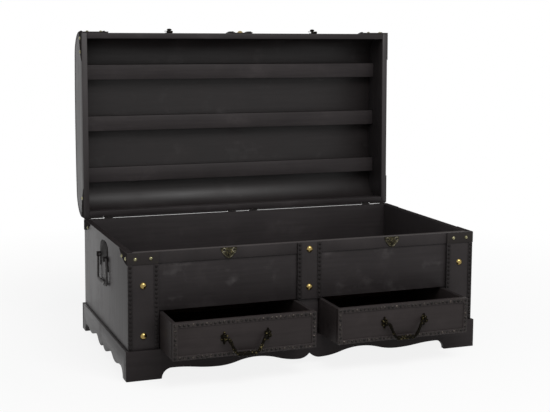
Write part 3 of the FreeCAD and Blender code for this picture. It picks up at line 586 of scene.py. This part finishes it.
# %% The lid's section
joint_of = {joint["name"]: joint for joint in frame["joints"]}
hinge_line = Matrix.Translation(joint_of["lid_hinge"]["pos_m"])
open_angle = math.radians(joint_of["lid_hinge"]["range_deg"][1])
open_lid = hinge_line @ Matrix.Rotation(-open_angle, 4, "X") @ hinge_line.inverted()
LID_RIM, WALL_TOP, CROWN_TOP = 0.296, 0.326, 0.396
HALF_DEPTH, SHOULDER = 0.2435, 0.064
CROWN_RISE = CROWN_TOP - WALL_TOP - SHOULDER
reach = HALF_DEPTH - SHOULDER
crown = (reach ** 2 + 2 * SHOULDER * CROWN_RISE + CROWN_RISE ** 2) / (2 * CROWN_RISE)
lean = math.atan2(WALL_TOP - CROWN_TOP + crown, -reach)
print("the crown's radius is", round(crown, 3), "m")

# %% A row over the lid
STRIP_PROUD = 0.0037


def over_lid(front_rise):
    """Feet and outward directions of a row over the shut lid, as pairs of (y, z)."""
    face = HALF_DEPTH + STRIP_PROUD
    climb = spaced((0, -face, LID_RIM + front_rise + HALF_STRIP), (0, -face, WALL_TOP))[:-1]
    spots = [((foot.y, foot.z), (-1, 0)) for foot in climb]
    arcs = (((-reach, WALL_TOP), SHOULDER, math.pi, lean),
            ((0, CROWN_TOP - crown), crown, lean, math.pi - lean),
            ((reach, WALL_TOP), SHOULDER, math.pi - lean, 0))
    for (y, z), radius, first, last in arcs:
        radius += STRIP_PROUD
        steps = round(radius * (first - last) / NAIL_PITCH)
        for step in range(steps):
            angle = first + (last - first) * step / steps
            outward = (math.cos(angle), math.sin(angle))
            spots.append(((y + radius * outward[0], z + radius * outward[1]), outward))
    spots.append(((face, WALL_TOP), (1, 0)))
    return spots


print("nails in a row over the lid:", len(over_lid(0)))

# %% Nails on the lid
CAP_RISE = 0.027
lid_spots = []
for across, front_rise in ((outer_row, CAP_RISE), (inner_row, CAP_RISE), (stile_row, 0)):
    for side in (-1, 1):
        for foot, outward in over_lid(front_rise):
            lid_spots.append((open_lid @ Vector((side * across, *foot)),
                              open_lid.to_3x3() @ Vector((0, *outward))))
set_nails("lid_nails", lid_spots, strip_bronze, "lid")
bpy.data.objects.remove(nail)

# %% [markdown]
# ## Shield keepers
# Under each hasp a shield is nailed to the top rail, with pierced eyes in its wings and a knob for the
# hasp's slot. The shut hasp lies 2.3 mm in front of the rail, so the shield and its scrolls stay lower than
# that. A flat curve fills itself and leaves its inner loops open, so a pierced plate is one outline and its
# holes, thickened, rounded and made a mesh.

# %% Pierced plates
def close_up():
    """Welds the open piece, turns its faces outward and hands it back."""
    bpy.ops.mesh.remove_doubles(threshold=WELD)
    bpy.ops.mesh.normals_make_consistent(inside=False)
    return done()


def from_curve(name, curve):
    """The closed mesh of a thickened curve."""
    piece = bpy.data.objects.new(name, curve)
    bpy.context.collection.objects.link(piece)
    pick(piece)
    bpy.ops.object.convert(target="MESH")
    edit(bpy.context.object)
    return close_up()


def pierced_plate(name, loops, thick, rounding):
    """A flat plate in the XZ plane from smooth loops of (x, z) points. The first loop is its outline."""
    flat = bpy.data.curves.new(name, "CURVE")
    flat.dimensions = "2D"
    flat.fill_mode = "BOTH"
    flat.extrude = thick / 2 - rounding
    flat.bevel_depth = rounding
    flat.bevel_resolution = 1
    flat.resolution_u = 4
    for loop, handles in loops:
        spline = flat.splines.new("BEZIER")
        spline.bezier_points.add(len(loop) - 1)
        spline.use_cyclic_u = True
        for knot, (across, up) in zip(spline.bezier_points, loop):
            knot.co = (across, up, 0)
            knot.handle_left_type = knot.handle_right_type = handles
    piece = from_curve(name, flat)
    piece.data.transform(Matrix.Rotation(math.pi / 2, 4, "X"))
    return piece


print("seams closer than", WELD, "m are welded")

# %% The shield's outline and holes
HALF_SHIELD = [(0.0197, -0.0006), (0.0186, -0.0071), (0.0140, -0.0150), (0.0090, -0.0214), (0.0046, -0.0252)]
KEEPER_THICK, KEEPER_ROUNDING = 0.0018, 0.0005
EYE_REACH, EYE_DROP, EYE_RADIUS = 0.0120, 0.0062, 0.0027
TIP_DROP, TIP_RADIUS = 0.0212, 0.0015


def whole_outline(half):
    """A whole outline from the points of its right half, from the top down."""
    return half + [(-across, up) for across, up in reversed(half) if across]


def ring_loop(across, up, radius):
    """A round hole as four smooth points."""
    points = [(across + radius, up), (across, up + radius), (across - radius, up), (across, up - radius)]
    return points, "AUTO"


shield_loops = [(whole_outline(HALF_SHIELD), "VECTOR"), ring_loop(-EYE_REACH, -EYE_DROP, EYE_RADIUS),
                ring_loop(EYE_REACH, -EYE_DROP, EYE_RADIUS), ring_loop(0, -TIP_DROP, TIP_RADIUS)]
print("holes in a shield:", len(shield_loops) - 1)

# %% [markdown]
# ## The lathe
# A round knob or post is turned: half of its outline is drawn beside an axis and spun round it. In Blender
# a tiny plane is merged into one point, which is extruded from corner to corner of the outline, and the
# line is spun a full turn. Its start and its end meet, so the seam is welded.

# %% Turning the knobs
def turned(name, profile, steps=20):
    """A piece turned on the lathe about the Y axis: (radius, distance forward) pairs spun round."""
    pick()
    bpy.ops.mesh.primitive_plane_add(size=0.001)
    edit(bpy.context.object)
    bpy.ops.mesh.delete(type="ONLY_FACE")
    bpy.ops.mesh.select_all(action="SELECT")
    bpy.ops.mesh.merge(type="CENTER")
    bpy.ops.transform.translate(value=(profile[0][0], -profile[0][1], 0))
    for (radius, ahead), (next_radius, next_ahead) in zip(profile, profile[1:]):
        bpy.ops.mesh.extrude_region_move(
            TRANSFORM_OT_translate={"value": (next_radius - radius, ahead - next_ahead, 0)})
    bpy.ops.mesh.select_all(action="SELECT")
    bpy.ops.mesh.spin(steps=steps, angle=2 * math.pi, center=(0, 0, 0), axis=(0, 1, 0))
    bpy.ops.mesh.select_all(action="SELECT")
    piece = close_up()
    piece.name = name
    bpy.ops.object.shade_smooth_by_angle(angle=SHARP)
    return piece


keeper_low, keeper_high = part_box("keeper_plates")
rail_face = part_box("top_rails")[0].y
knob_length = rail_face - keeper_low.y
knob_profile = [(0, 0), (0.0062, 0), (0.0062, 0.0014), (0.0052, 0.0020), (0.0036, 0.0021), (0.0029, 0.0027),
                (0.0029, knob_length - 0.0008), (0.0021, knob_length), (0, knob_length)]
print("a knob is", round(knob_length, 4), "m long")

# %% [markdown]
# ## Swelling rods
# A scroll or a cast bail is a rod that bends and swells. A curve with a thickness at every point draws it,
# with few numbers to change, and conversion makes it a closed mesh. Each scroll curls round an eye of the
# shield and runs down to the tip.

# %% Rods and the scroll's curl
SCROLL_STAND, SCROLL_RADIUS = 0.0011, 0.0010
CURL = [(EYE_REACH + 0.0040, -EYE_DROP + 0.0010), (EYE_REACH, -EYE_DROP + 0.0042),
        (EYE_REACH - 0.0042, -EYE_DROP), (EYE_REACH - 0.0010, -EYE_DROP - 0.0042),
        (EYE_REACH + 0.0046, -EYE_DROP - 0.0030), (0.0119, -0.0149), (0.0072, -0.0208), (0.0020, -0.0234)]


def swelling_rod(name, points, resolution=4):
    """A rod along smooth points of (x, y, z, radius), closed at both ends."""
    rod = bpy.data.curves.new(name, "CURVE")
    rod.dimensions = "3D"
    rod.bevel_depth = 1.0
    rod.bevel_resolution = 2
    rod.resolution_u = resolution
    rod.use_fill_caps = True
    spline = rod.splines.new("BEZIER")
    spline.bezier_points.add(len(points) - 1)
    for knot, (*place, radius) in zip(spline.bezier_points, points):
        knot.co = place
        knot.radius = radius
        knot.handle_left_type = knot.handle_right_type = "AUTO"
    piece = from_curve(name, rod)
    bpy.ops.object.shade_smooth_by_angle(angle=ROUND)
    return piece


print("points along a scroll:", len(CURL))

# %% The keepers
KEEPER_HALF, KNOB_DROP = 0.0215, 0.013
rim = keeper_high.z
shields, scrolls = [], []
for middle in (keeper_low.x + KEEPER_HALF, keeper_high.x - KEEPER_HALF):
    shield = pierced_plate("shield", shield_loops, KEEPER_THICK, KEEPER_ROUNDING)
    shield.data.transform(Matrix.Translation((middle, rail_face - KEEPER_THICK / 2, rim)))
    knob = turned("knob", knob_profile)
    knob.data.transform(Matrix.Translation((middle, rail_face, rim - KNOB_DROP)))
    shields += [shield, knob]
    for side in (-1, 1):
        points = [(middle + side * across, rail_face - SCROLL_STAND, rim + up, SCROLL_RADIUS)
                  for across, up in CURL]
        scrolls.append(swelling_rod("scroll", points))
keepers = fuse("shield_keepers", shields)
dress(keepers, antique_gold, "carcass")
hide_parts("keeper_plates")
ornament = fuse("keeper_scrolls", scrolls)
dress(ornament, worn_gold, "carcass")
print("keepers:", len(keepers.data.polygons), "faces, scrolls:", len(ornament.data.polygons), "faces")

# %% [markdown]
# ## Toggle buttons
# Behind the tip of each folded hasp a small oval button stands on a thin stem and keeps the tongue from
# falling over the rim. Against the white background only its dark head shows, a little to one side of the
# tongue. The stem and the head are turned as one piece, and the head is then drawn out sideways.

# %% The buttons
STEM, HEAD, HEAD_STEPS = 0.0079, 0.0034, 6
BUTTON_RISE, BUTTON_SHIFT, BUTTON_STRETCH = 0.0155, 0.0085, 2.05
button_profile = [(0, -0.0004), (0.0022, -0.0004), (0.0022, 0.0006), (0.0009, 0.0012), (0.0009, STEM)]
for step in range(1, HEAD_STEPS + 1):
    angle = step * math.pi / HEAD_STEPS
    button_profile.append((HEAD * math.sin(angle), STEM + HEAD * (1 - math.cos(angle))))
foot = (-reach - math.sqrt(SHOULDER ** 2 - BUTTON_RISE ** 2), WALL_TOP + BUTTON_RISE)
buttons = []
for node in ("hasp_left", "hasp_right"):
    low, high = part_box(node)
    button = turned("button", button_profile, steps=16)
    edit(button)
    bpy.ops.transform.resize(value=(BUTTON_STRETCH, 1, 1), center_override=(0, 0, 0))
    done()
    button.data.transform(open_lid @ Matrix.Translation(((low.x + high.x) / 2 + BUTTON_SHIFT, *foot)))
    buttons.append(button)
toggles = fuse("hasp_toggles", buttons)
dress(toggles, hasp_bronze, "lid")
print("toggles:", len(toggles.data.polygons), "faces")

# %% [markdown]
# ## Rolled lips
# The caps on the lid's back corners end in a rolled lip, which closes the ends of the gap under the open
# lid. Each lip is a short rod along the lid's back edge, thicker at the corner and with round ends.

# %% The lips
LIP_LENGTH, CORNER_LENGTH = 0.0535, 0.020
LIP_RADIUS, INNER_RADIUS, ROUND_END = 0.0024, 0.00212, 0.3
inner_end, corner = half_body - LIP_LENGTH, half_body - CORNER_LENGTH
lip_line = [(inner_end, INNER_RADIUS, ROUND_END), (inner_end + INNER_RADIUS, INNER_RADIUS, 1),
            (corner, INNER_RADIUS, 1), (corner + LIP_RADIUS, LIP_RADIUS, 1),
            (half_body - LIP_RADIUS, LIP_RADIUS, 1), (half_body, LIP_RADIUS, ROUND_END)]
lips = []
for side in (-1, 1):
    points = [(*(open_lid @ Vector((side * across, HALF_DEPTH + radius, LID_RIM + radius))), share * radius)
              for across, radius, share in lip_line]
    lips.append(swelling_rod("lip", points))
rolled = fuse("lid_cap_lips", lips)
dress(rolled, cap_bronze, "lid")
print("lips:", len(rolled.data.polygons), "faces")

# %% [markdown]
# ## Drop pulls
# Each drawer has a cast bail between two posts. Its arms leave the posts level, sweep down in an S and meet
# a thick grip with beads in its middle, so the bail is one more swelling rod. Half of its line is written
# down, and the other half mirrors it. The posts are turned on the lathe, on leaf-shaped plates.

# %% The bail's line
BAIL = [(-0.0565, 0, 0.0024), (-0.0485, 0, 0.0025), (-0.0450, -0.0008, 0.0034), (-0.0416, -0.0052, 0.0044),
        (-0.0386, -0.0108, 0.0040), (-0.0362, -0.0164, 0.0033), (-0.0338, -0.0218, 0.0036),
        (-0.0306, -0.0276, 0.0041), (-0.0272, -0.0328, 0.0035), (-0.0240, -0.0360, 0.0028),
        (-0.0212, -0.0370, 0.0038), (-0.0180, -0.0371, 0.0043), (-0.0140, -0.0371, 0.0036),
        (-0.0094, -0.0371, 0.0043), (-0.0046, -0.0371, 0.0036), (0, -0.0371, 0.0043)]
BAIL += [(-across, up, thick) for across, up, thick in reversed(BAIL[:-1])]
GRIP_HALF, GRIP_SWELL = 0.022, 1.36
BAIL = [(across, up, thick * (GRIP_SWELL if abs(across) < GRIP_HALF else 1)) for across, up, thick in BAIL]
print("points along a bail:", len(BAIL))

# %% Bails
for side in ("left", "right"):
    pivot = joint_of[f"pull_{side}_pivot"]["pos_m"]
    points = [(pivot[0] + across, pivot[1], pivot[2] + up, thick) for across, up, thick in BAIL]
    bail = swelling_rod(f"drawer_{side}_bail", points, resolution=5)
    dress(bail, cast_bronze, f"pull_{side}")
    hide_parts(f"drawer_{side}_pull")
    print(bail.name, len(bail.data.polygons), "faces")

# %% Posts
HALF_LEAF = [(0, 0.0145), (0.0034, 0.0085), (0.0082, 0.0052), (0.0060, 0.0012), (0.0078, -0.0040),
             (0.0030, -0.0082), (0, -0.0140)]
LEAF_THICK, LEAF_ROUNDING = 0.0020, 0.0006
PULL_HALF = 0.052
for side in ("left", "right"):
    pivot = joint_of[f"pull_{side}_pivot"]["pos_m"]
    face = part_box(f"drawer_{side}_front")[0].y
    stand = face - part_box(f"drawer_{side}_pull_posts")[0].y
    post_profile = [(0, 0), (0.0056, 0), (0.0056, 0.0026), (0.0040, 0.0036), (0.0034, 0.0056),
                    (0.0046, 0.0074), (0.0052, stand - 0.0062), (0.0052, stand - 0.0030),
                    (0.0036, stand - 0.0008), (0, stand)]
    posts = []
    for end in (-1, 1):
        across = pivot[0] + end * PULL_HALF
        leaf = pierced_plate("leaf", [(whole_outline(HALF_LEAF), "AUTO")], LEAF_THICK, LEAF_ROUNDING)
        leaf.data.transform(Matrix.Translation((across, face - LEAF_THICK / 2, pivot[2])))
        post = turned("post", post_profile, steps=16)
        post.data.transform(Matrix.Translation((across, face, pivot[2])))
        posts += [leaf, post]
    pair = fuse(f"drawer_{side}_posts", posts)
    dress(pair, cast_bronze, f"drawer_{side}")
    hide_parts(f"drawer_{side}_pull_posts")
    print(pair.name, len(pair.data.polygons), "faces")

# %% [markdown]
# ## Handle plates
# Behind each drop handle a thin plate lies flat on the chest's end. Its top is round, its sides are
# straight and its foot is cut out in an arch between two points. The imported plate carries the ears, and
# this one lies behind it and shows round its edges, so it is one more flat curve, thickened and turned to
# face sideways.

# %% The plates
HALF_PLATE = [(0, 0.0392), (0.0200, 0.0374), (0.0352, 0.0300), (0.0405, 0.0165), (0.0425, -0.0080),
              (0.0468, -0.0300), (0.0375, -0.0262), (0.0240, -0.0150), (0, -0.0085)]
BACKING_THICK, BACKING_ROUNDING = 0.0016, 0.0004
for side, sign in (("left", -1), ("right", 1)):
    pivot = joint_of[f"handle_{side}_pivot"]["pos_m"]
    middle = sign * (half_body + BACKING_THICK / 2)
    backing = pierced_plate(f"handle_{side}_backing", [(whole_outline(HALF_PLATE), "VECTOR")], BACKING_THICK,
                            BACKING_ROUNDING)
    backing.data.transform(Matrix.Translation((middle, pivot[1], pivot[2]))
                           @ Matrix.Rotation(math.pi / 2, 4, "Z"))
    dress(backing, dark_iron, "carcass")
    print(backing.name, len(backing.data.polygons), "faces")

# %% [markdown]
# ## Floor and light
# The chest stands in a white studio. The floor is pale and keeps a soft shadow, and what the camera and
# shiny surfaces see behind the chest is plain white. The floor's glow and the white of the world therefore
# look at the kind of ray that asks: rays to the eye, also by way of metal or glass, get the full white.

# %% The floor
FLOOR_SIZE, FLOOR_DROP = 14, 0.0004
PALE, WHITE = (0.70, 0.70, 0.70, 1), (1, 1, 1, 1)
SHADOW_KEPT, SHADOW_FROM, SHADOW_TO = 0.14, 0.7, 1.8


def seen_by_eye(start):
    """1 for rays that reach the eye straight, by reflection or through glass."""
    kinds = ("Is Camera Ray", "Is Glossy Ray", "Is Transmission Ray")
    straight, mirrored, through = [start.add("LightPath", output=kind) for kind in kinds]
    return (straight + mirrored + through).within(0, 1)


pick()
bpy.ops.mesh.primitive_plane_add(size=FLOOR_SIZE, location=(0, 0, -FLOOR_DROP))
floor = bpy.context.object
floor.name = "studio_floor"
floor_finish, spot = new_finish("pale_floor")
apart = spot.add("VectorMath", {0: spot}, "Value", operation="LENGTH")
matt = spot.add("BsdfDiffuse", {"Color": PALE})
glow = spot.add("Emission", {"Color": WHITE, "Strength": 1.0})
share = seen_by_eye(spot) * (1 - SHADOW_KEPT * (1 - apart.within(SHADOW_FROM, SHADOW_TO)))
seal(spot.add("MixShader", {0: share, 1: matt, 2: glow}))
floor.data.materials.append(floor_finish)
print("floor:", floor.name)

# %% The world
AMBIENT = 0.50
world = bpy.data.worlds.new("white_studio")
bpy.context.scene.world = world
world.use_nodes = True
world.node_tree.nodes.clear()
start = Shade(world.node_tree)
strength = AMBIENT + seen_by_eye(start) * (1 - AMBIENT)
sky = start.add("Background", {"Color": WHITE, "Strength": strength})
start.add("OutputWorld", {"Surface": sky})
bpy.context.scene.view_settings.view_transform = "Standard"
print("world:", world.name)

# %% [markdown]
# ## The key light
# The white all round lights every side a little. One large soft light stands in front, about 45 degrees up,
# so that it shapes the front, the drawers and the lid's shoulder.

# %% The softbox
KEY_PLACE, KEY_AIM = Vector((0.3, -2.0, 2.7)), Vector((0, 0.2, 0.4))
KEY_WIDTH, KEY_HEIGHT, KEY_POWER = 2.0, 1.5, 82
pick()
bpy.ops.object.light_add(type="AREA", location=KEY_PLACE)
light = bpy.context.object
light.name = "key_softbox"
light.data.shape = "RECTANGLE"
light.data.size, light.data.size_y = KEY_WIDTH, KEY_HEIGHT
light.data.energy = KEY_POWER
light.rotation_euler = (KEY_AIM - KEY_PLACE).to_track_quat("-Z", "Y").to_euler()
print(light.name, KEY_POWER, "W")

# %% [markdown]
# ## The camera
# The photograph was taken from the chest's left, a little above the rim, with upright lines kept nearly
# upright. The place, the heading and the lens come from matching corners of the chest to the picture.

# %% The camera
PICTURE_WIDTH, FOCAL_PIXELS, SENSOR_WIDTH = 550, 1136.7, 36
EYE = Vector((-1.0262, -2.7108, 0.8045))
HEADING, TILT, ROLL = math.radians(20.772), math.radians(-6.236), math.radians(0.38)
SHIFT_UP = -0.10
pick()
bpy.ops.object.camera_add(location=EYE)
camera = bpy.context.object
camera.matrix_world = (Matrix.Translation(EYE) @ Matrix.Rotation(-HEADING, 4, "Z")
                       @ Matrix.Rotation(math.pi / 2 + TILT, 4, "X") @ Matrix.Rotation(ROLL, 4, "Z"))
camera.data.sensor_width = SENSOR_WIDTH
camera.data.lens = FOCAL_PIXELS * SENSOR_WIDTH / PICTURE_WIDTH
camera.data.shift_y = SHIFT_UP
camera.data.dof.use_dof = False
bpy.context.scene.camera = camera
print("lens", round(camera.data.lens, 1), "mm")

# %% [markdown]
# ## The end

# %% Finish
pick()
